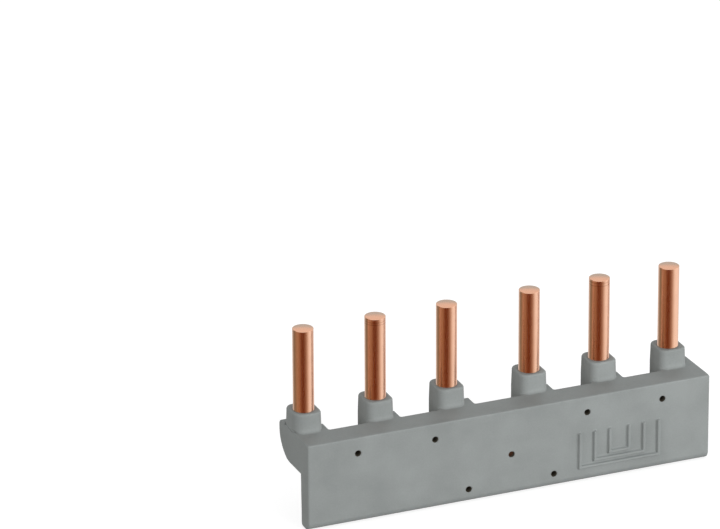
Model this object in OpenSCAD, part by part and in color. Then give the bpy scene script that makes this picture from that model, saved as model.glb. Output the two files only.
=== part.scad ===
// Six pin comb busbar for two three pole switching devices that stand side by side.
// Three flat copper bars are moulded into one grey bar. Each bar joins a pair of
// upright round pins: the first to the sixth, the second to the fifth and the third
// to the fourth.
// X runs along the row of pins, the flat front face looks to -Y and the pins point up.
// The origin lies on the pins' axes' plane, midway between pins 3 and 4, level with
// the tops of the plastic bosses.

/* [Pins] */
// Spacing of neighbouring pins within each group of three
pitch = 14.2; // [12.5:0.1:20]
// Distance between the two inner pins
centre_gap = 16.6; // [15:0.1:30]
// Diameter of the bare pin
pin_d = 3.9; // [3.6:0.1:4]
// Length above the boss
pin_len = 16; // [6:0.5:30]
// Chamfer round the tip
tip_chamfer = 0.2; // [0.1:0.05:1]
// Diameter of the turned neck at the foot of the bare pin
neck_d = 3.4; // [3:0.1:3.5]
// How far the neck shows above the boss
neck_rise = 0.15; // [0.05:0.05:0.5]
// Diameter of the shank that the plastic grips
shank_d = 4.4; // [4.2:0.1:4.6]
// Diameter at the bottom of the gripping groove
groove_d = 3.2; // [3:0.1:3.6]
// Height of the gripping groove
groove_h = 1.4; // [0.6:0.1:2]
// Diameter of the spigot riveted into the bar
spigot_d = 2.6; // [2:0.1:3]
// Diameter of the rivet head under the bar
rivet_d = 3.6; // [3.2:0.1:4]
// Thickness of the rivet head
rivet_t = 0.45; // [0.3:0.05:0.6]

/* [Bosses] */
// Width of a boss at its foot, along the row
boss_w = 5.5; // [5.4:0.1:7]
// Depth of a boss at its foot, front to back
boss_depth = 6.1; // [5.8:0.1:8]
// Height of a boss above the top face
boss_h = 3.6; // [2.4:0.1:8]
// Radius of the upright corners
boss_corner = 1.4; // [0.6:0.1:2]
// Slope of the boss walls in degrees
boss_draft = 1.5; // [0:0.25:3]
// Rounding round the top of a boss
boss_edge = 0.35; // [0.1:0.05:0.6]
// Width of the relief ring round each pin
ring_w = 0.25; // [0.15:0.05:0.35]
// Depth of the relief ring
ring_depth = 0.3; // [0.2:0.05:0.8]

/* [Moulded bar] */
// Height of the front face
face_h = 17.05; // [16:0.05:24]
// Depth of the top face in front of the bosses
band_depth = 5.7; // [5.5:0.1:8]
// Height of the thick band along the top
band_h = 6.9; // [6.6:0.1:7.6]
// Thickness of the thin wall under the band
wall_t = 3.6; // [3.5:0.1:4.6]
// Slope of the back of the thin wall in degrees
wall_draft = 1.25; // [0:0.25:1.5]
// Plastic between the first boss and the left end
left_lip = 0.05; // [0:0.05:4]
// Distance from the sixth pin to the right end
right_reach = 4.6; // [4:0.1:8]
// Rounding of the outer edges
edge_r = 0.45; // [0.2:0.05:0.6]
// Big round where the front face turns under at the foot
foot_round = 1.5; // [0.5:0.1:2]

/* [Blocks under the bosses] */
// How far a block runs on past the right side of its boss
block_side = 1; // [0:0.05:3]
// How much further the third block runs on
block_extra = 0.65; // [0:0.05:2]
// Depth of a block behind the band
block_depth = 3.05; // [1:0.05:6]
// Rounding under the back of the column that carries a boss
column_round = 1.2; // [0.2:0.1:1.4]

/* [Ribs at both ends] */
// Width of an end rib
rib_w = 4.2; // [2.5:0.1:5.5]
// How far an end rib stands out behind its boss
rib_ledge = 2.05; // [0.5:0.05:4]
// Radius of the big round under the back of a rib
rib_round = 5.2; // [2:0.1:6]
// Radius of the small round along the top of the back
rib_top_round = 1; // [0.2:0.1:1.2]

/* [Copper bars] */
// Thickness of the copper strip
strip_t = 0.9; // [0.6:0.05:1]
// Height of the long run of the outer bar
outer_run_h = 3.2; // [2:0.1:3.4]
// Height of the long run of the middle bar
middle_run_h = 3.6; // [2:0.1:4]
// Height of the run of the inner bar
inner_run_h = 3.2; // [2:0.1:3.4]
// Width of the legs and of the tabs under the pins
tab_w = 4.4; // [4:0.1:4.6]
// Radius inside the bend from leg to tab
bend_r = 0.4; // [0.2:0.05:0.6]
// Plastic in front of the middle bar
front_skin = 0.8; // [0.4:0.05:0.8]
// Plastic between the middle bar and the inner bar
layer_gap = 0.4; // [0.35:0.05:0.55]
// Plastic behind the outer bar
back_skin = 0.7; // [0.4:0.05:0.8]
// Depth of the outer run's middle under the top face
outer_run_drop = 2.55; // [2.3:0.05:2.65]
// Depth of the tabs' upper face under the top face
tab_drop = 4.7; // [4.6:0.05:5]
// Depth of the middle run's middle under the top face
middle_run_drop = 8.9; // [8:0.1:9.4]
// Depth of the inner run's middle under the top face
inner_run_drop = 14; // [12.6:0.1:14]

/* [Support holes] */
// Diameter of the holes left by the supports of the copper bars
hole_d = 1.2; // [0.6:0.1:1.6]
// Spacing of the holes in the upper row
hole_pitch = 15.3; // [12:0.1:16]
// Distance of the two low holes from the middle one
low_hole_reach = 8.6; // [6:0.1:9]
// Shift of the holes' middle from the middle of the pins
hole_shift = 1; // [-1:0.1:1.4]
// Depth of the upper row under the top face
upper_hole_drop = 3.15; // [2:0.05:3.2]
// Depth of the low holes under the top face
low_hole_drop = 14.4; // [13.4:0.1:14.6]

/* [Raised wiring sign] */
// How far the lines stand out from the front face
line_relief = 0.45; // [0.1:0.05:0.8]
// Width of a line
line_w = 0.55; // [0.3:0.05:1]
// Shift of the sign to the right of the fifth pin
sign_shift = 0.2; // [-2:0.1:2]
// Half the width of the innermost line pair
sign_inner = 1.95; // [1.5:0.05:3]
// Step from one line pair to the next one out
sign_step = 3.03; // [2:0.01:3.2]
// Depth of the lines' upper ends under the top face
sign_top = 7; // [6:0.1:9]
// Depth of the innermost cross line under the top face
sign_low = 11.7; // [10.5:0.1:12.5]
// Drop from one cross line to the next one out
sign_drop = 1.1; // [0.8:0.05:1.2]

/* [Hidden] */
$fn = 64;
COPPER = "#c07a4e";
GREY = "#8f9593";
// Overshoot that keeps cuts clear of the faces that they open
past = 1;

// Places of the six pins along the row
pin_x = [for (side = [-1, 1], step = side < 0 ? [2, 1, 0] : [0, 1, 2])
    side * (centre_gap / 2 + step * pitch)];

// Levels, down from the tops of the bosses
top_z = -boss_h;
foot_z = top_z - face_h;
band_z = top_z - band_h;
tab_z = top_z - tab_drop;

// Places front to back, with the pins at zero
boss_front = -boss_depth / 2;
front_y = boss_front - band_depth;
rib_back = boss_depth / 2 + rib_ledge;
middle_y = front_y + front_skin;
inner_y = middle_y + strip_t + layer_gap;
outer_y = boss_front - back_skin - strip_t;

// Ends of the moulded bar
left_x = pin_x[0] - boss_w / 2 - left_lip;
right_x = pin_x[5] + right_reach;

// A rectangle between two corners, with all four corners rounded
module rounded_box(low, high, r) {
    translate(low + [r, 0]) square([high.x - low.x - 2 * r, high.y - low.y]);
    translate(low + [0, r]) square([high.x - low.x, high.y - low.y - 2 * r]);
    for (x = [low.x + r, high.x - r], y = [low.y + r, high.y - r])
        translate([x, y]) circle(r);
}

// Extrudes an outline drawn in X and Z along Y, from one depth to another
module along_y(from, to) {
    translate([0, to, 0]) rotate([90, 0, 0]) linear_extrude(to - from) children();
}

// Extrudes an outline drawn in Y and Z along X, from one end to the other
module along_x(from, to) {
    translate([from, 0, 0]) rotate([90, 0, 90]) linear_extrude(to - from) children();
}

// Side outline of the band and the tapering wall below it
module face_profile() {
    taper = (face_h - band_h) * tan(wall_draft);
    wall_back = front_y + wall_t;
    rounded_box([front_y, band_z], [boss_front, top_z], edge_r);
    // The band's back edges stay square, where the blocks and ribs join on
    translate([boss_front - edge_r, band_z]) square([edge_r, band_h]);
    translate([front_y, band_z - edge_r]) square([wall_t, 2 * edge_r]);
    polygon([[front_y, top_z - edge_r], [wall_back, top_z - edge_r], [wall_back, band_z],
        [wall_back - taper, foot_z + edge_r], [wall_back - taper - edge_r, foot_z],
        [front_y + foot_round, foot_z], [front_y, foot_z + foot_round]]);
    translate([front_y + foot_round, foot_z + foot_round]) circle(foot_round);
    translate([wall_back - taper - edge_r, foot_z + edge_r]) circle(edge_r);
}

// Outline of the front face, with its four corners rounded
module front_outline() {
    rounded_box([left_x, foot_z], [right_x, top_z], edge_r);
}

// Upright front edges of both ends rounded as seen from above
module end_outline() {
    rounded_box([left_x, front_y], [right_x, boss_front], edge_r);
    translate([left_x, boss_front - 2 * edge_r]) square([right_x - left_x, 2 * edge_r]);
}

module band_and_wall() {
    intersection() {
        along_x(left_x, right_x) face_profile();
        along_y(front_y, boss_front) front_outline();
        translate([0, 0, foot_z]) linear_extrude(face_h) end_outline();
    }
}

// Side outline of what stands behind the band, with its lower back corner rounded
module back_profile(back, low_round) {
    front = boss_front - 2 * edge_r;
    difference() {
        translate([front, band_z]) square([back - front, band_h]);
        translate([back, band_z]) outside_round(low_round);
    }
}

// What is cut from an outline's lower right corner at the origin to leave a round
module outside_round(r) {
    translate([-r, 0]) difference() {
        translate([0, -past]) square([r + past, r + past]);
        translate([0, r]) circle(r);
    }
}

// Ribs flush with both ends, with a small round behind the top and a big one below
module end_ribs() {
    low_round = min(rib_round, band_h - rib_top_round);
    for (start = [left_x, right_x - rib_w])
        along_x(start, start + rib_w) difference() {
            back_profile(rib_back, low_round);
            translate([rib_back, top_z]) mirror([0, 1]) outside_round(rib_top_round);
        }
}

// Blocks behind the band, which start under the bosses and run on to their right
module blocks() {
    for (i = [0:5]) {
        right = pin_x[i] + boss_w / 2 + block_side + (i == 2 ? block_extra : 0);
        along_x(pin_x[i] - boss_w / 2, min(right, right_x))
            translate([boss_front - edge_r, band_z]) square([block_depth + edge_r, band_h]);
    }
}

// One side of a boss seen square on: sloping walls and a rounded top
module boss_side(width) {
    slope = boss_h * tan(boss_draft);
    half = width / 2;
    shoulder = half - slope;
    intersection() {
        polygon([[-half, top_z], [half, top_z], [shoulder, 0], [-shoulder, 0]]);
        union() {
            translate([-half, top_z]) square([width, boss_h - boss_edge]);
            translate([boss_edge - shoulder, top_z])
                square([2 * (shoulder - boss_edge), boss_h]);
            for (side = [-1, 1])
                translate([side * (shoulder - boss_edge), -boss_edge]) circle(boss_edge);
        }
    }
}

// Bosses, and below them the columns that hold the feet of the pins
module bosses() {
    for (x = pin_x) translate([x, 0, 0]) {
        intersection() {
            along_y(-boss_depth, boss_depth) boss_side(boss_w);
            along_x(-boss_w, boss_w) boss_side(boss_depth);
            translate([0, 0, top_z]) linear_extrude(boss_h) boss_plan();
        }
        intersection() {
            translate([0, 0, band_z]) linear_extrude(band_h) boss_plan();
            along_x(-boss_w, boss_w) back_profile(boss_depth / 2, column_round);
        }
    }
}

module boss_plan() {
    rounded_box([-boss_w, -boss_depth] / 2, [boss_w, boss_depth] / 2, boss_corner);
}

// Three nested open loops, raised on the front face in front of pin 5
module wiring_sign() {
    along_y(front_y - line_relief, front_y + edge_r) translate([pin_x[4] + sign_shift, top_z])
        for (ring = [0:2]) {
            half = sign_inner + ring * sign_step;
            low = sign_low + ring * sign_drop;
            for (side = [-1, 1])
                translate([side * half - line_w / 2, -low]) square([line_w, low - sign_top]);
            translate([-half - line_w / 2, -low - line_w / 2]) square([2 * half + line_w, line_w]);
        }
}

// A support hole from the front face to a bar
module support_hole(x, drop, bar_y) {
    translate([x, bar_y, top_z - drop]) rotate([90, 0, 0])
        cylinder(d = hole_d, h = bar_y - front_y + past);
}

module support_holes() {
    for (side = [-2, -1, 1, 2])
        support_hole(hole_shift + side * hole_pitch, upper_hole_drop, outer_y);
    support_hole(hole_shift, middle_run_drop, middle_y);
    for (side = [-1, 1])
        support_hole(hole_shift + side * low_hole_reach, low_hole_drop, inner_y);
}

// One pin, turned from round bar: bare pin, grooved shank, spigot and rivet head
module pin_solid() {
    groove_z = (tab_z - ring_depth + groove_h) / 2;
    rotate_extrude() polygon([
        [0, pin_len], [pin_d / 2 - tip_chamfer, pin_len], [pin_d / 2, pin_len - tip_chamfer],
        [pin_d / 2, neck_rise], [neck_d / 2, neck_rise], [neck_d / 2, -ring_depth],
        [shank_d / 2, -ring_depth - (shank_d - neck_d) / 2],
        [shank_d / 2, groove_z], [groove_d / 2, groove_z],
        [groove_d / 2, groove_z - groove_h], [shank_d / 2, groove_z - groove_h],
        [shank_d / 2, tab_z], [spigot_d / 2, tab_z], [spigot_d / 2, tab_z - strip_t],
        [rivet_d / 2, tab_z - strip_t], [rivet_d / 2, tab_z - strip_t - rivet_t],
        [0, tab_z - strip_t - rivet_t]]);
}

module pin(i) {
    color(COPPER) translate([pin_x[i], 0, 0]) pin_solid();
}

// Side outline of a strip bent back from a leg into a tab, with the bend rounded
module bend_profile(leg_y, leg_top, leg_low) {
    out_r = bend_r + strip_t;
    tab_end = tab_w / 2;
    upward = leg_top > tab_z;
    corner = [leg_y + out_r, upward ? tab_z - strip_t + out_r : tab_z - out_r];
    translate([leg_y, upward ? corner.y : leg_low])
        square([strip_t, upward ? leg_top - corner.y : corner.y - leg_low]);
    translate([corner.x, tab_z - strip_t]) square([tab_end - corner.x, strip_t]);
    intersection() {
        difference() {
            translate(corner) circle(out_r);
            translate(corner) circle(bend_r);
        }
        translate([leg_y, upward ? tab_z - strip_t : corner.y]) square(out_r);
    }
}

// Plan of a tab: straight sides and a round end about the pin
module tab_plan(leg_y) {
    translate([-tab_w / 2, leg_y]) square([tab_w, -leg_y]);
    circle(d = tab_w);
}

// Legs and tabs at both ends of a bar, from the level of the run to the pins
module legs_and_tabs(reach, leg_y, leg_top, leg_low) {
    for (side = [-1, 1]) translate([side * reach, 0, 0]) difference() {
        intersection() {
            along_x(-tab_w / 2, tab_w / 2) bend_profile(leg_y, leg_top, leg_low);
            translate([0, 0, foot_z]) linear_extrude(face_h) tab_plan(leg_y);
        }
        translate([0, 0, tab_z - strip_t - past])
            cylinder(d = spigot_d, h = strip_t + 2 * past);
    }
}

// One complete bar: a flat run with a leg and a tab at each end, out to its two pins
module bar(reach, leg_y, run_drop, run_h) {
    run_top = top_z - run_drop + run_h / 2;
    run_low = run_top - run_h;
    half = reach + tab_w / 2;
    corner_r = strip_t;
    color(COPPER) {
        along_y(leg_y, leg_y + strip_t)
            rounded_box([-half, run_low], [half, run_top], corner_r);
        legs_and_tabs(reach, leg_y, max(run_top - corner_r, tab_z), min(run_low + corner_r, tab_z));
    }
}

module moulding() {
    color(GREY) difference() {
        union() {
            band_and_wall();
            end_ribs();
            blocks();
            bosses();
            wiring_sign();
        }
        outer_bar();
        middle_bar();
        inner_bar();
        for (i = [0:5]) pin(i);
        for (x = pin_x) translate([x, 0, -ring_depth])
            cylinder(d = pin_d + 2 * ring_w, h = ring_depth + past);
        support_holes();
    }
}

module outer_bar() { bar(pin_x[5], outer_y, outer_run_drop, outer_run_h); }

module middle_bar() { bar(pin_x[4], middle_y, middle_run_drop, middle_run_h); }

module inner_bar() { bar(pin_x[3], inner_y, inner_run_drop, inner_run_h); }

moulding();
outer_bar();
middle_bar();
inner_bar();
pin(0);  // pin_1
pin(1);  // pin_2
pin(2);  // pin_3
pin(3);  // pin_4
pin(4);  // pin_5
pin(5);  // pin_6
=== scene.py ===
import math

import bmesh
import bpy
import numpy as np
from mathutils import Matrix, Vector


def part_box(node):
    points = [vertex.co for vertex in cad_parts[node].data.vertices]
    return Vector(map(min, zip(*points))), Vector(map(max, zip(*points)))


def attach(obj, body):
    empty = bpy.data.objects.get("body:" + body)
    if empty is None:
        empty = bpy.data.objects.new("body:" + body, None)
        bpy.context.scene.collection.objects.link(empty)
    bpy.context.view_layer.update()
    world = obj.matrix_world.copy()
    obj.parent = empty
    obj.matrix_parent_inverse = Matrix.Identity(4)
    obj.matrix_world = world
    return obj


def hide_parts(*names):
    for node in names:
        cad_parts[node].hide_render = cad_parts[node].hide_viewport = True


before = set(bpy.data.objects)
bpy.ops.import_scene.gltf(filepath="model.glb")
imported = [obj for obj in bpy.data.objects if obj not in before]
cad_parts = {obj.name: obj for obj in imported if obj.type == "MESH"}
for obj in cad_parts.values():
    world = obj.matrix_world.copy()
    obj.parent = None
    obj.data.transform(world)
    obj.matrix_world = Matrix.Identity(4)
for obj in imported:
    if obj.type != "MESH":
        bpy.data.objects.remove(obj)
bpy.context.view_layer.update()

MM = 0.001

# The part's measures, in millimetres, as part.scad has them
PIN_X = [-36.7, -22.5, -8.3, 8.3, 22.5, 36.7]
TOP, BAND, FOOT = -3.6, -10.5, -20.65
FRONT, BAND_BACK, RIB_BACK = -8.75, -3.05, 5.1
LEFT, RIGHT = (round(corner.x / MM, 3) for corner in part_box("moulding"))
WALL, WALL_DRAFT = 3.6, math.tan(math.radians(1.25))
BOSS_W, BOSS_DEPTH, BOSS_DRAFT = 5.5, 6.1, math.tan(math.radians(1.5))
BOSS_CORNER, BOSS_EDGE = 1.5, 0.4
BLOCK_SIDE, BLOCK_EXTRA, BLOCK_BACK, COLUMN_ROUND = 1.0, 0.65, 0.0, 1.2
RIB_W, RIB_ROUND, RIB_TOP_ROUND = 4.2, 5.2, 1.0
EDGE, FOOT_EDGE, FOOT_ROUND, INNER_CORNER = 0.3, 0.6, 1.5, 0.3
PIN_LEN, PIN_R, NECK_R, RING_R, RING_DEPTH = 16, 1.95, 1.7, 2.2, 0.3
SHANK_R, GROOVE_R, GROOVE_H, SPIGOT_R, RIVET_R = 2.2, 1.6, 1.4, 1.3, 1.8
TAB, STRIP, RIVET_T = -8.3, 0.9, 0.45
HOLE_R = 0.6
OUTER_Y, MIDDLE_Y, INNER_Y = -4.65, -7.95, -6.65
HOLES = [(1 + side * 15.3, TOP - 3.15, OUTER_Y) for side in (-2, -1, 1, 2)]
HOLES += [(1, TOP - 8.9, MIDDLE_Y)] + [(1 + side * 8.6, TOP - 14.4, INNER_Y) for side in (-1, 1)]
SIGN_X, SIGN_TOP, SIGN_LOW, SIGN_DROP = PIN_X[4] + 0.2, TOP - 7, TOP - 11.7, 1.1
SIGN_INNER, SIGN_STEP, LINE_W = 1.95, 3.03, 0.55

# Small forms that only the scene has: lengths in millimetres, slopes, and least shares of them
END_EDGE, END_EDGE_RUN, END_EDGE_LEAST, RIGHT_SLOPE = 0.4, 2, 0.4, 0.03
BOSS_FOOT, BOSS_FOOT_RUN, BOSS_FOOT_LEAST, BOSS_FOOT_BACK, BOSS_ROOT = 0.8, 1.2, 0.15, 0.4, 1
END_BOSS_CORNER, CREASE_R, CREASE_RUN = 2.3, 0.24, 1.2
LINE_RELIEF, LINE_CREST, LINE_FLARE, LINE_SLOPE, LINE_SLIM = 0.6, 0.12, 0.22, 0.28, 0.07
LINE_END, LINE_JOINT, LINE_ROOT = 0.48, 0.08, 0.3
TIP_CROWN, TIP_EDGE, CROWN_RINGS, PIN_FOOT, PIN_FOOT_EDGE = 0.12, 0.04, 6, -0.12, 0.04
DISH_WIDER, DISH_RIM, DISH_DEPTH, DISH_OVERLAP, DISH_EDGE = 0.25, 0.03, 0.09, 0.03, 0.05
HOLE_FLARE, HOLE_FLARE_EDGE, HOLE_PAST_BAR, HOLE_SHADE_FROM = 0.12, 0.05, 0.01, 0.15
# Turning marks that the photograph shows on two of the pins, as depths below the rim of the tip
# Each mark is drawn as a darker copper ring: painted shade of a shallow turned groove
TURNING_MARK_SHADES, MARK_HALF = {2: (0.66, 1.1), 5: (0.45, 1.0)}, 0.13


# Shapes as distance fields: below zero inside, above zero outside, in millimetres

def round_and(a, b, r):
    """What both hold, with the edge between them rounded."""
    return np.minimum(np.maximum(a, b), -r) + np.hypot(np.maximum(a + r, 0), np.maximum(b + r, 0))


def round_or(a, b, r):
    """What either holds, with the corner between them filleted."""
    return np.maximum(np.minimum(a, b), r) - np.hypot(np.maximum(r - a, 0), np.maximum(r - b, 0))


def rectangle(x, y, half_x, half_y, r=0):
    """A rectangle about the origin with rounded corners."""
    over_x, over_y = np.abs(x) - half_x + r, np.abs(y) - half_y + r
    return (np.hypot(np.maximum(over_x, 0), np.maximum(over_y, 0))
            + np.minimum(np.maximum(over_x, over_y), 0) - r)


def fade(value, start, run, least=0.0):
    """One up to the start, then falling along the run to the least share."""
    return np.clip((start + run - value) / run, least, 1)


def behind(y, z, back, low_round, top_round):
    """Side view of what reaches back from the band, with a round below and above its back."""
    return round_and(round_and(BAND - z, y - back, low_round), z - TOP, top_round)


def moulded_body(x, y, z):
    """Band and wall, the blocks, columns and end ribs behind them, and the bosses on top."""
    blocks, columns, bosses = np.inf, np.inf, np.inf
    for i, pin in enumerate(PIN_X):
        reach = BLOCK_SIDE + (BLOCK_EXTRA if i == 2 else 0)
        across = np.abs(x - pin - reach / 2) - (BOSS_W + reach) / 2
        blocks = np.minimum(blocks, round_and(across, y - BLOCK_BACK, EDGE))
        column = rectangle(x - pin, y, BOSS_W / 2, BOSS_DEPTH / 2, BOSS_CORNER)
        columns = np.minimum(columns, column)
        grow = np.minimum(TOP - z, 0) * BOSS_DRAFT
        corner = np.where((x < PIN_X[0]) & (y < 0), END_BOSS_CORNER, BOSS_CORNER)
        sides = rectangle(x - pin, y, BOSS_W / 2 + grow, BOSS_DEPTH / 2 + grow, corner)
        bosses = np.minimum(bosses, round_and(sides, z, BOSS_EDGE))
        if i == 0:
            # A crease runs along the foot of the first boss on the left end
            reached = fade(-y, CREASE_RUN, CREASE_RUN) * (x < LEFT + CREASE_RUN)
            crease = reached * CREASE_R - np.hypot(sides, z - TOP)
    front, foot = FRONT - y, FOOT - z
    band = round_and(round_or(y - BAND_BACK, blocks, INNER_CORNER), BAND - z, EDGE)
    wall_back = FRONT + WALL + np.minimum(z - BAND, 0) * WALL_DRAFT
    wall = round_and(y - wall_back, foot, FOOT_EDGE)
    body = round_and(np.minimum(band, wall), z - TOP, EDGE)
    posts = round_and(columns, behind(y, z, BOSS_DEPTH / 2, COLUMN_ROUND, EDGE), EDGE)
    beside = np.minimum(x - LEFT, RIGHT - x) - RIB_W
    ribs = round_and(beside, behind(y, z, RIB_BACK, RIB_ROUND, RIB_TOP_ROUND), EDGE)
    body = np.minimum(body, np.minimum(posts, ribs))
    body = np.maximum(round_and(body, front, EDGE), round_and(foot, front, FOOT_ROUND))
    ends = np.maximum(LEFT - x, x - RIGHT + np.maximum(y - FRONT, 0) * RIGHT_SLOPE)
    body = round_and(body, ends, fade(y, FRONT, END_EDGE_RUN, END_EDGE_LEAST) * END_EDGE)
    # The foot of a boss is filleted in front of it, and stays within the block and column below
    off = np.min([np.abs(x - pin) for pin in PIN_X], axis=0)
    front_part = fade(y, BAND_BACK + BOSS_FOOT_BACK, BOSS_FOOT_RUN, BOSS_FOOT_LEAST)
    middle_part = fade(off, BOSS_W / 2 - BOSS_FOOT_RUN, BOSS_FOOT_RUN, BOSS_FOOT_LEAST)
    foot_round = front_part * middle_part * BOSS_FOOT
    outline = np.minimum(np.minimum(blocks, columns), np.minimum(y - BAND_BACK, beside))
    outline = np.maximum(outline, LEFT - x)
    bosses = np.maximum(bosses, TOP - BOSS_ROOT - z)
    return np.maximum(np.maximum(round_or(body, bosses, foot_round), outline), crease)


def sign_lines(x, y, z):
    """Three nested open loops: low ridges with round ends, sloping flanks and flared feet."""
    height = FRONT - y
    foot = np.clip(LINE_FLARE - height, 0, LINE_FLARE)
    wider = (LINE_FLARE - np.sqrt(LINE_FLARE ** 2 - foot ** 2) - LINE_SLIM
             + np.clip(LINE_RELIEF - height, 0, LINE_RELIEF) * LINE_SLOPE)
    lines = np.inf
    for ring in range(3):
        half, low = SIGN_INNER + ring * SIGN_STEP, SIGN_LOW - ring * SIGN_DROP
        across = rectangle(x - SIGN_X, z - low, half + LINE_W / 2, LINE_W / 2, LINE_W * LINE_END)
        leg_half = (SIGN_TOP - low + LINE_W / 2) / 2
        legs = rectangle(np.abs(x - SIGN_X) - half, z - SIGN_TOP + leg_half,
                         LINE_W / 2, leg_half, LINE_W * LINE_END)
        lines = np.minimum(lines, round_or(across, legs, LINE_JOINT))
    ridges = round_and(lines - wider, height - LINE_RELIEF, LINE_CREST)
    return np.maximum(ridges, y - FRONT - LINE_ROOT)


def grid_line(low, high, marks, fine, coarse, reach):
    """Coordinates from low to high, close together near the marks."""
    line = [low]
    while line[-1] < high:
        near = min(abs(line[-1] + coarse / 2 - mark) for mark in marks) < reach
        line.append(line[-1] + (fine if near else coarse))
    return np.array(line)


def surface_points(shape, points):
    """Moves points on to the surface of a shape, by a few steps down its measured slope."""
    tiny, tries, least_slope = 1e-4, 5, 0.2
    for _ in range(tries):
        value = shape(*points.T)
        slope = np.stack([(shape(*(points + step).T) - shape(*(points - step).T)) / (2 * tiny)
                          for step in np.eye(3) * tiny], axis=1)
        steepness = np.maximum((slope ** 2).sum(axis=1), least_slope)
        points = points - (value / steepness)[:, None] * slope
    return points


def mesh_from_shape(name, shape, xs, ys, zs, flat=0.4):
    """Meshes a shape: a point in each grid cell that its surface crosses, flat parts merged."""
    inside = shape(xs[:, None, None], ys[None, :, None], zs[None, None, :]) < 0
    corners = [inside[i:len(xs) - 1 + i, j:len(ys) - 1 + j, k:len(zs) - 1 + k]
               for i in (0, 1) for j in (0, 1) for k in (0, 1)]
    crossed = np.any(corners, axis=0) & ~np.all(corners, axis=0)
    number = np.full(crossed.shape, -1)
    number[crossed] = np.arange(crossed.sum())
    cells = np.argwhere(crossed)
    middles = [(line[1:] + line[:-1]) / 2 for line in (xs, ys, zs)]
    starts = np.stack([middles[a][cells[:, a]] for a in range(3)], axis=1)
    points = surface_points(shape, starts)
    quads = []
    for axis in range(3):
        side, cell = np.moveaxis(inside, axis, 0)[:, 1:-1, 1:-1], np.moveaxis(number, axis, 0)
        around = np.stack([cell[:, :-1, :-1], cell[:, 1:, :-1],
                           cell[:, 1:, 1:], cell[:, :-1, 1:]], axis=-1)
        for low, turned in ((True, axis == 1), (False, axis != 1)):
            found = around[(side[:-1] == low) & (side[1:] != low)]
            quads.append(found[:, ::-1] if turned else found)
    mesh = bpy.data.meshes.new(name)
    mesh.from_pydata((points * MM).tolist(), [], np.concatenate(quads).tolist())
    work = bmesh.new()
    work.from_mesh(mesh)
    bmesh.ops.dissolve_limit(work, angle_limit=math.radians(flat),
                             verts=work.verts, edges=work.edges)
    bmesh.ops.triangulate(work, faces=[f for f in work.faces if len(f.verts) > 4])
    work.to_mesh(mesh)
    work.free()
    return mesh


def new_object(name, mesh):
    made = bpy.data.objects.new(name, mesh)
    bpy.context.scene.collection.objects.link(made)
    return made


def rounded_profile(corners, steps=4):
    """Points along an outline whose corners (radius, height, rounding) are rounded."""
    out = []
    for i, (r, z, rounding) in enumerate(corners):
        here = Vector((r, z))
        if rounding == 0:
            out.append(here)
            continue
        before = (Vector(corners[i - 1][:2]) - here).normalized()
        after = (Vector(corners[i + 1][:2]) - here).normalized()
        half = before.angle(after) / 2
        middle = here + (before + after).normalized() * rounding / math.sin(half)
        start = (here + before * rounding / math.tan(half) - middle).normalized()
        end = (here + after * rounding / math.tan(half) - middle).normalized()
        out += [middle + start.slerp(end, step / steps) * rounding for step in range(steps + 1)]
    return [(p.x, p.y) for p in out]


def lathe(name, profile, x=0.0, segments=96):
    """Turns an outline of (radius, height), from axis to axis, about the upright axis at x."""
    work = bmesh.new()
    rings = []
    for r, z in profile:
        if r < 1e-6:
            rings.append([work.verts.new(Vector((x, 0, z)) * MM)])
            continue
        turn = [2 * math.pi * s / segments for s in range(segments)]
        rings.append([work.verts.new(Vector((x + r * math.cos(t), r * math.sin(t), z)) * MM)
                      for t in turn])
    for upper, lower in zip(rings, rings[1:]):
        for s in range(segments):
            t = (s + 1) % segments
            face = [upper[s % len(upper)], lower[s % len(lower)],
                    lower[t % len(lower)], upper[t % len(upper)]]
            work.faces.new(list(dict.fromkeys(face)))
    bmesh.ops.recalc_face_normals(work, faces=work.faces)
    mesh = bpy.data.meshes.new(name)
    work.to_mesh(mesh)
    work.free()
    return mesh


def pin_profile():
    """The pin's outline from tip to rivet head, as in part.scad, with its edges broken."""
    groove = (TAB - RING_DEPTH + GROOVE_H) / 2
    low = TAB - STRIP
    rim = PIN_LEN - TIP_CROWN
    crown = [(PIN_R * s / CROWN_RINGS, PIN_LEN - TIP_CROWN * (s / CROWN_RINGS) ** 2, 0)
             for s in range(CROWN_RINGS)]
    return rounded_profile(crown + [
        (PIN_R - TIP_EDGE, rim, 0), (PIN_R, rim - TIP_EDGE, 0),
        (PIN_R, PIN_FOOT, PIN_FOOT_EDGE), (NECK_R, PIN_FOOT, 0), (NECK_R, -RING_DEPTH, 0),
        (SHANK_R, -RING_DEPTH - (SHANK_R - NECK_R), 0), (SHANK_R, groove, 0), (GROOVE_R, groove, 0),
        (GROOVE_R, groove - GROOVE_H, 0), (SHANK_R, groove - GROOVE_H, 0), (SHANK_R, TAB, 0),
        (SPIGOT_R, TAB, 0), (SPIGOT_R, low, 0), (RIVET_R, low, 0), (RIVET_R, low - RIVET_T, 0),
        (0, low - RIVET_T, 0)])


def ring_cutter(x):
    """Cuts a shallow dish into the boss round a pin, and makes room for the pin in the ring."""
    rim, inner, above = RING_R + DISH_WIDER, PIN_R - DISH_OVERLAP, 1
    return lathe("ring_cutter", rounded_profile([
        (0, above, 0), (rim, above, 0), (rim, DISH_RIM, 0), (inner, -DISH_DEPTH, DISH_EDGE),
        (inner, -RING_DEPTH, 0), (0, -RING_DEPTH, 0)]), x)


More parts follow.
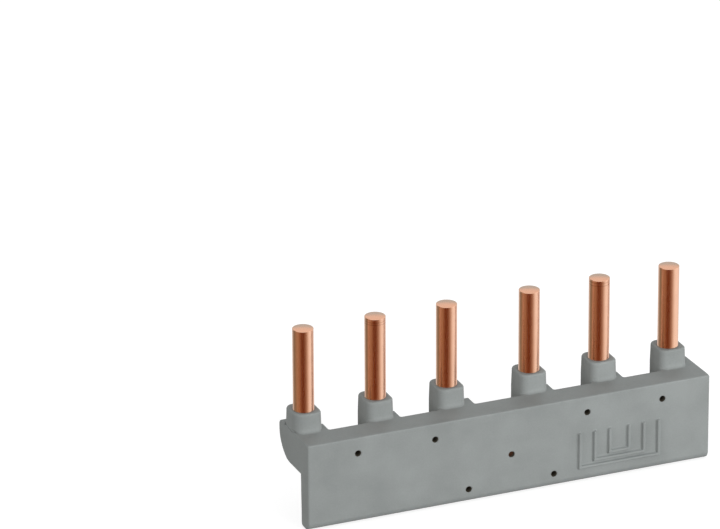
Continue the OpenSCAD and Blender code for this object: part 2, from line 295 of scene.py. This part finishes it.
def hole_cutter(x, z, floor_y):
    """Cuts a support hole from the front face to a copper bar, with its rim broken."""
    rim, depth, above = HOLE_R + HOLE_FLARE, floor_y - FRONT + HOLE_PAST_BAR, 1
    mesh = lathe("hole_cutter", rounded_profile([
        (0, above, 0), (rim, above, 0), (rim, 0, 0), (HOLE_R, -HOLE_FLARE, HOLE_FLARE_EDGE),
        (HOLE_R, -depth, 0), (0, -depth, 0)]), segments=32)
    place = Matrix.Translation(Vector((x, FRONT, z)) * MM)
    mesh.transform(place @ Matrix.Rotation(math.pi / 2, 4, "X"))
    return mesh


def joined(meshes):
    """One mesh of several."""
    work = bmesh.new()
    for mesh in meshes:
        work.from_mesh(mesh)
    out = bpy.data.meshes.new("joined")
    work.to_mesh(out)
    work.free()
    return out


def cut(target, cutter_mesh):
    """Cuts a mesh out of an object and applies the result."""
    cutter = new_object("cutter", cutter_mesh)
    change = target.modifiers.new("cut", "BOOLEAN")
    change.object, change.operation, change.solver = cutter, "DIFFERENCE", "EXACT"
    apply_modifiers(target)
    bpy.data.objects.remove(cutter)


def apply_modifiers(target):
    bpy.context.view_layer.update()
    changed = target.evaluated_get(bpy.context.evaluated_depsgraph_get())
    done = bpy.data.meshes.new_from_object(changed)
    target.modifiers.clear()
    old, target.data = target.data, done
    bpy.data.meshes.remove(old)


def shade(target, angle=30):
    """Smooth shading that keeps hard edges and flat faces."""
    mesh = target.data
    mesh.shade_smooth()
    mesh.set_sharp_from_angle(angle=math.radians(angle))
    weigh = target.modifiers.new("weigh", "WEIGHTED_NORMAL")
    weigh.keep_sharp, weigh.weight = True, 100
    apply_modifiers(target)


def on_shaded_hole_wall(point):
    """Whether a point in millimetres lies on the wall of a support hole, below its rim, where the
    wall takes a darker plastic as painted shade.
    """
    return any(math.hypot(point.x - x, point.z - z) < HOLE_R
               and FRONT + HOLE_SHADE_FROM < point.y < floor_y for x, z, floor_y in HOLES)


def make_moulding():
    """The moulded body. Its grids start at odd places, so that no grid plane lies in a face."""
    # Fine cells lie where the faces end and the corners are round
    half, curve = BOSS_W / 2, 1.6
    sides = [pin + side for pin in PIN_X for side in
             (-half, -curve, curve, half, half + BLOCK_SIDE)]
    sides += [LEFT, LEFT + RIB_W, RIGHT - RIB_W, RIGHT]
    depths = [FRONT, FRONT + WALL, BAND_BACK, -2, 0, 2, -BAND_BACK, RIB_BACK]
    coarse, fine = ((0.4, 0.12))
    xs = grid_line(LEFT - 1.013, RIGHT + 1, sides, fine, coarse, 0.8)
    ys = grid_line(FRONT - 0.817, RIB_BACK + 1, depths, fine, coarse, 0.9)
    zs = grid_line(FOOT - 0.911, 1, [FOOT, BAND, TOP, 0], fine, coarse, 0.8)
    body = mesh_from_shape("moulded_body", moulded_body, xs, ys, zs)
    made = new_object("moulded_body", body)
    cut(made, joined([ring_cutter(x) for x in PIN_X] + [hole_cutter(*hole) for hole in HOLES]))
    # Faces on the hole walls take the second, darker plastic: painted shade in the holes
    for face in made.data.polygons:
        if on_shaded_hole_wall(face.center / MM):
            face.material_index = 1
    shade(made)
    return made


def make_sign():
    """The wiring sign on the front face."""
    edges = [SIGN_X + side * (SIGN_INNER + ring * SIGN_STEP)
             for side in (-1, 1) for ring in range(3)]
    levels = [SIGN_TOP] + [SIGN_LOW - ring * SIGN_DROP for ring in range(3)]
    fine = 0.05
    xs = grid_line(SIGN_X - 9.011, SIGN_X + 9, edges, fine, 0.2, 0.5)
    ys = grid_line(FRONT - LINE_RELIEF - 0.213, FRONT + 0.5, [FRONT], fine, 0.1, 1)
    zs = grid_line(SIGN_LOW - 3.507, SIGN_TOP + 1, levels, fine, 0.2, 0.5)
    ridges = mesh_from_shape("wiring_sign", sign_lines, xs, ys, zs, flat=1)
    made = new_object("wiring_sign", ridges)
    shade(made)
    return made


# Materials

PLASTIC_DARK, PLASTIC_LIGHT, PLASTIC_SHINE = (0.235, 0.252, 0.248), (0.275, 0.294, 0.29), 0.2
# Darker plastic for the walls of the support holes: painted shade in the holes
HOLE_SHADE_DARK, HOLE_SHADE_LIGHT, HOLE_SHINE = (0.1, 0.088, 0.068), (0.12, 0.106, 0.083), 0.0
COPPER_DARK, COPPER_LIGHT, COPPER_ROUGH = (0.81, 0.5, 0.36), (0.86, 0.54, 0.39), 0.28
# Paler copper for the tip's top face: a turned face, partly a painted highlight
COPPER_TIP_AND_SHEEN, TIP_ROUGH = (0.95, 0.55, 0.38), 0.2
# Darker copper rings at the turning marks: painted shade of turned grooves
COPPER_MARK_SHADE, MARK_SHADE_STRENGTH = (0.5, 0.27, 0.18), 0.7
# Near-black copper for the bars at the bottoms of the holes: painted shade
BAR_SHADE_DARK, BAR_SHADE_LIGHT, BAR_ROUGH = (0.07, 0.037, 0.024), (0.1, 0.052, 0.034), 0.5
ROUGH_VARY = 0.015


def add(tree, kind, values=None, **settings):
    """A shader node with its settings, and its sockets set or linked."""
    made = tree.nodes.new("ShaderNode" + kind)
    for name, value in settings.items():
        setattr(made, name, value)
    for socket, value in (values or {}).items():
        # Nodes that take several kinds of data hide the sockets of the other kinds
        inputs = [i for i in made.inputs if i.enabled and i.name == socket] or [made.inputs[socket]]
        if isinstance(value, bpy.types.NodeSocket):
            tree.links.new(value, inputs[0])
        else:
            inputs[0].default_value = value
    return made


def new_material(name):
    """A material without nodes, and its tree."""
    made = bpy.data.materials.new(name)
    made.use_nodes = True
    made.node_tree.nodes.clear()
    return made, made.node_tree


def finish_material(tree, shader):
    """Links the last shader to the material's output."""
    tree.links.new(shader.outputs[0], add(tree, "OutputMaterial").inputs["Surface"])


def ramp(tree, factor, stops):
    """Straight blends between colours along a factor from 0 to 1."""
    made = add(tree, "ValToRGB", {"Fac": factor})
    line = made.color_ramp
    line.interpolation = "LINEAR"
    while len(line.elements) < len(stops):
        line.elements.new(1)
    for element, (place, colour) in zip(line.elements, stops):
        element.position, element.color = place, (*colour, 1)
    return made.outputs["Color"]


def noise(tree, place, scale, detail=2.0, rough=0.5):
    """Noise over a place in metres."""
    return add(tree, "TexNoise", {"Vector": place, "Scale": scale, "Detail": detail,
                                  "Roughness": rough}).outputs["Fac"]


def blend(tree, factor, a, b, kind="FLOAT"):
    """Mixes two values, or two colours with the kind RGBA."""
    made = add(tree, "Mix", {"Factor": factor, "A": a, "B": b}, data_type=kind)
    return next(output for output in made.outputs if output.enabled)


def map_range(tree, value, from_low, from_high, low=0.0, high=1.0):
    """Maps a range of values to another, and holds its ends."""
    return add(tree, "MapRange", {"Value": value, "From Min": from_low, "From Max": from_high,
                                  "To Min": low, "To Max": high}).outputs["Result"]


def spread(tree, value, low, high, middle=0.3):
    """Stretches a noise's middle part over a range of values."""
    return map_range(tree, value, middle, 1 - middle, low, high)


def maths(tree, operation, *values):
    """A Math node's result."""
    return add(tree, "Math", dict(enumerate(values)), operation=operation).outputs[0]


def plastic(name, dark, light, specular):
    """Moulded plastic: faint clouds in the colour and a fine spark eroded skin."""
    made, tree = new_material(name)
    place = add(tree, "TexCoord").outputs["Object"]
    clouds = noise(tree, place, scale=130, detail=3, rough=0.55)
    specks = noise(tree, place, scale=3200)
    colour = ramp(tree, blend(tree, 0.25, clouds, specks), [(0.36, dark), (0.64, light)])
    skin = noise(tree, place, scale=5200, detail=3, rough=0.6)
    bump = add(tree, "Bump", {"Height": skin, "Strength": 0.35, "Distance": 0.00002})
    finish_material(tree, add(tree, "BsdfPrincipled", {
        "Base Color": colour, "Roughness": spread(tree, clouds, low=0.5, high=0.6),
        "Specular IOR Level": specular, "Normal": bump.outputs["Normal"]}))
    return made


def copper(name, dark, light, rough, marks=()):
    """Drawn copper: streaks along the pin, faint patches, a paler tip that is a turned face and
    partly a painted highlight, and thin turning marks painted as darker rings of groove shade.
    """
    made, tree = new_material(name)
    place = add(tree, "TexCoord").outputs["Object"]
    along = add(tree, "Mapping", {"Vector": place, "Scale": (1, 1, 0.03)}).outputs["Vector"]
    streaks = noise(tree, along, scale=2600, detail=3, rough=0.6)
    patches = noise(tree, place, scale=420, detail=3)
    colour = ramp(tree, blend(tree, 0.5, streaks, patches), [(0.38, dark), (0.62, light)])
    height = add(tree, "SeparateXYZ", {"Vector": place}).outputs["Z"]
    rim = PIN_LEN - TIP_CROWN
    # The tip mask: the tip's paler colour is partly a painted highlight
    tip = map_range(tree, height, (rim - TIP_EDGE) * MM, (rim - TIP_EDGE / 2) * MM)
    colour = blend(tree, tip, colour, (*COPPER_TIP_AND_SHEEN, 1), "RGBA")
    # Darker rings at the turning marks: painted shade of turned grooves
    for down in marks:
        away = maths(tree, "ABSOLUTE", maths(tree, "SUBTRACT", height, (rim - down) * MM))
        ring = map_range(tree, away, 0.0, MARK_HALF * MM, MARK_SHADE_STRENGTH, 0.0)
        colour = blend(tree, ring, colour, (*COPPER_MARK_SHADE, 1), "RGBA")
    bump = add(tree, "Bump", {"Height": streaks, "Strength": 0.04, "Distance": 0.00001})
    drawn = spread(tree, streaks, rough - ROUGH_VARY, rough + ROUGH_VARY)
    finish_material(tree, add(tree, "BsdfPrincipled", {
        "Base Color": colour, "Roughness": blend(tree, tip, drawn, TIP_ROUGH),
        "Metallic": 1.0, "Normal": bump.outputs["Normal"]}))
    return made


def dress(piece, materials, slot, *nodes):
    """Puts a piece on the part's body, in its materials, in place of CAD nodes."""
    for material in materials:
        piece.data.materials.append(material)
    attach(piece, "root")
    if nodes:
        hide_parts(*nodes)


grey_plastic = plastic("grey_plastic", PLASTIC_DARK, PLASTIC_LIGHT, PLASTIC_SHINE)
# The hole walls' plastic is dark: painted shade in the support holes
hole_painted_shade = plastic("hole_painted_shade", HOLE_SHADE_DARK, HOLE_SHADE_LIGHT, HOLE_SHINE)
copper_metal = copper("copper", COPPER_DARK, COPPER_LIGHT, COPPER_ROUGH)
# The bars' near-black copper is painted shade at the bottoms of the holes
bar_painted_shade = copper("bar_painted_shade", BAR_SHADE_DARK, BAR_SHADE_LIGHT, BAR_ROUGH)
moulded_piece = make_moulding()
# The pins mirror the tent alone
moulded_piece.visible_glossy = False
dress(moulded_piece, [grey_plastic, hole_painted_shade], "grey_plastic", "moulding")
dress(make_sign(), [grey_plastic], "grey_plastic")
for number, x in enumerate(PIN_X, 1):
    pin = new_object(f"copper_pin_{number}", lathe("copper_pin", pin_profile()))
    pin.location.x = x * MM
    shade(pin)
    metal = copper_metal
    # Pins with turning marks take copper with darker rings: painted groove shade
    if number in TURNING_MARK_SHADES:
        metal = copper(f"copper_mark_shade_{number}", COPPER_DARK, COPPER_LIGHT, COPPER_ROUGH,
                       TURNING_MARK_SHADES[number])
    dress(pin, [metal], "copper", f"pin_{number}")
# The bars are seen only at the bottoms of the holes, in near-black copper: painted shade
for name in ("outer_bar", "middle_bar", "inner_bar"):
    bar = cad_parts[name]
    bar.data.materials.clear()
    bar.data.materials.append(bar_painted_shade)


# Studio. Lengths are in metres and angles in degrees from the front, to the right.

FLOOR_HALF, FLOOR_LIT, FLOOR_GLOW, FLOOR_SHADOW = 2.0, 0.26, 0.75, 0.4
WORLD_LIT, WORLD_SEEN = 0.62, 1.0
CAMERA_AZIMUTH, CAMERA_LENS, CAMERA_PLACE = -22.66, 300, (-0.411555, -0.925024, 0.44668)
CAMERA_RIGHT, CAMERA_UP = (0.92193, -0.38733, -0.00541), (0.15434, 0.35449, 0.92223)
CAMERA_BACK = (-0.35529, -0.85106, 0.38660)
TENT_RADIUS, TENT_LOW, TENT_HIGH, TENT_PANELS = 1.4, -1.5, 1.5, 128
TENT_HAZE = (0.58, 0.8, 0.92)
TENT_UPWARD = [(0.1, (1, 1, 1)), (0.2, TENT_HAZE), (0.48, TENT_HAZE), (0.7, (1, 1, 1))]
# What the pins mirror round the tent, by the turn from the camera
TENT_AROUND = [
    (-155, (0.95, 0.97, 1.0)), (-132, (0.6, 0.58, 0.52)), (-110, (0.2, 0.17, 0.12)),
    (-85, (0.36, 0.25, 0.16)), (-62, (0.46, 0.28, 0.17)), (-40, (0.38, 0.19, 0.1)),
    (-15, (0.165, 0.035, 0.006)), (10, (0.165, 0.035, 0.003)), (38, (0.43, 0.25, 0.16)),
    (56, (0.84, 0.72, 0.63)), (74, (1.12, 1.09, 1.07)), (110, (1.15, 1.12, 1.1)),
    (160, (0.82, 0.76, 0.72))]


def seen_rays(tree):
    """One for what the camera sees, itself or in metal or glass, and zero for light."""
    rays = add(tree, "LightPath").outputs
    seen = maths(tree, "MAXIMUM", rays["Is Camera Ray"], rays["Is Glossy Ray"])
    return maths(tree, "MAXIMUM", seen, rays["Is Transmission Ray"])


def floor_material():
    """Pale floor: white to the camera and in reflections, where it keeps the part's soft shadow."""
    made, tree = new_material("floor")
    lit = add(tree, "BsdfDiffuse", {"Color": (FLOOR_LIT, FLOOR_LIT, FLOOR_LIT, 1)})
    glow = add(tree, "Emission", {"Color": (1, 1, 1, 1), "Strength": FLOOR_GLOW})
    soft = add(tree, "BsdfDiffuse", {"Color": (FLOOR_SHADOW, FLOOR_SHADOW, FLOOR_SHADOW, 1)})
    both = add(tree, "AddShader", {0: glow.outputs[0], 1: soft.outputs[0]})
    finish_material(tree, add(tree, "MixShader", {
        0: seen_rays(tree), 1: lit.outputs[0], 2: both.outputs[0]}))
    return made


def make_floor():
    """The floor under the part, as wide as the camera needs."""
    half, level = FLOOR_HALF, FOOT * MM
    mesh = bpy.data.meshes.new("floor")
    mesh.from_pydata([(-half, -half, level), (half, -half, level), (half, half, level),
                      (-half, half, level)], [], [(0, 1, 2, 3)])
    made = new_object("floor", mesh)
    mesh.materials.append(floor_material())
    made.visible_glossy = False


def tent_place(azimuth):
    """Share of the way round the tent, for an azimuth in degrees from the front, to the right."""
    return ((azimuth + 180) % 360) / 360


def tent_material():
    """What the pins mirror: white, with soft dark openings between the panels of a light tent."""
    made, tree = new_material("tent")
    place = add(tree, "TexCoord").outputs["Object"]
    parts = add(tree, "SeparateXYZ", {"Vector": place}).outputs
    share = map_range(tree, maths(tree, "ARCTAN2", parts["Y"], parts["X"]), -math.pi, math.pi)
    stops = sorted((tent_place(CAMERA_AZIMUTH + turn), colour) for turn, colour in TENT_AROUND)
    around = ramp(tree, share, stops)
    upward = ramp(tree, map_range(tree, parts["Z"], 0.0, 1.0), TENT_UPWARD)
    colour = add(tree, "VectorMath", {0: around, 1: upward}, operation="MULTIPLY")
    finish_material(tree, add(tree, "Emission", {
        "Color": colour.outputs["Vector"], "Strength": 1.0}))
    return made


def make_tent():
    """A tall open ring round the table that only glossy rays see."""
    points, faces = [], []
    for s in range(TENT_PANELS):
        t = 2 * math.pi * s / TENT_PANELS
        points += [(TENT_RADIUS * math.cos(t), TENT_RADIUS * math.sin(t), z)
                   for z in (TENT_LOW, TENT_HIGH)]
        a, b = 2 * s, 2 * ((s + 1) % TENT_PANELS)
        faces.append((a, a + 1, b + 1, b))
    mesh = bpy.data.meshes.new("tent")
    mesh.from_pydata(points, [], faces)
    mesh.materials.append(tent_material())
    made = new_object("tent", mesh)
    made.visible_camera = made.visible_diffuse = made.visible_shadow = False
    made.visible_transmission = made.visible_volume_scatter = False
    made.rotation_euler.z = -math.pi / 2


def add_lamp(name, azimuth, elevation, distance, size, power):
    """A round soft lamp that points at the part, with its power in watts."""
    a, e = math.radians(azimuth), math.radians(elevation)
    away = Vector((math.sin(a) * math.cos(e), -math.cos(a) * math.cos(e), math.sin(e)))
    data = bpy.data.lights.new(name, "AREA")
    data.shape, data.size, data.energy = "DISK", size, power
    lamp = bpy.data.objects.new(name, data)
    bpy.context.scene.collection.objects.link(lamp)
    lamp.location = away * distance
    lamp.rotation_euler = away.to_track_quat("Z", "Y").to_euler()
    lamp.visible_glossy = False


def make_world():
    """Even white light, weaker on the part than what the camera sees."""
    world = bpy.data.worlds.new("studio")
    bpy.context.scene.world = world
    world.use_nodes = True
    tree = world.node_tree
    tree.nodes.clear()
    level = map_range(tree, seen_rays(tree), 0.0, 1.0, WORLD_LIT, WORLD_SEEN)
    sky = add(tree, "Background", {"Color": (1, 1, 1, 1), "Strength": level})
    tree.links.new(sky.outputs[0], add(tree, "OutputWorld").inputs["Surface"])


def make_camera():
    """The photograph's view, fitted to points measured in it. The image is 720 by 529 pixels."""
    data = bpy.data.cameras.new("camera")
    data.lens, data.sensor_width, data.clip_end = CAMERA_LENS, 36, 20
    camera = bpy.data.objects.new("camera", data)
    bpy.context.scene.collection.objects.link(camera)
    turn = Matrix((CAMERA_RIGHT, CAMERA_UP, CAMERA_BACK)).transposed().to_4x4()
    camera.matrix_world = Matrix.Translation(CAMERA_PLACE) @ turn
    bpy.context.scene.camera = camera


make_floor()
make_tent()
make_world()
add_lamp("key_softbox", azimuth=22, elevation=6, distance=0.4, size=0.3, power=1.66)
add_lamp("side_softbox", azimuth=-70, elevation=8, distance=0.9, size=0.5, power=2.5)
add_lamp("back_softbox", azimuth=150, elevation=8, distance=0.9, size=0.5, power=3.0)
make_camera()
bpy.context.scene.view_settings.view_transform = "Standard"
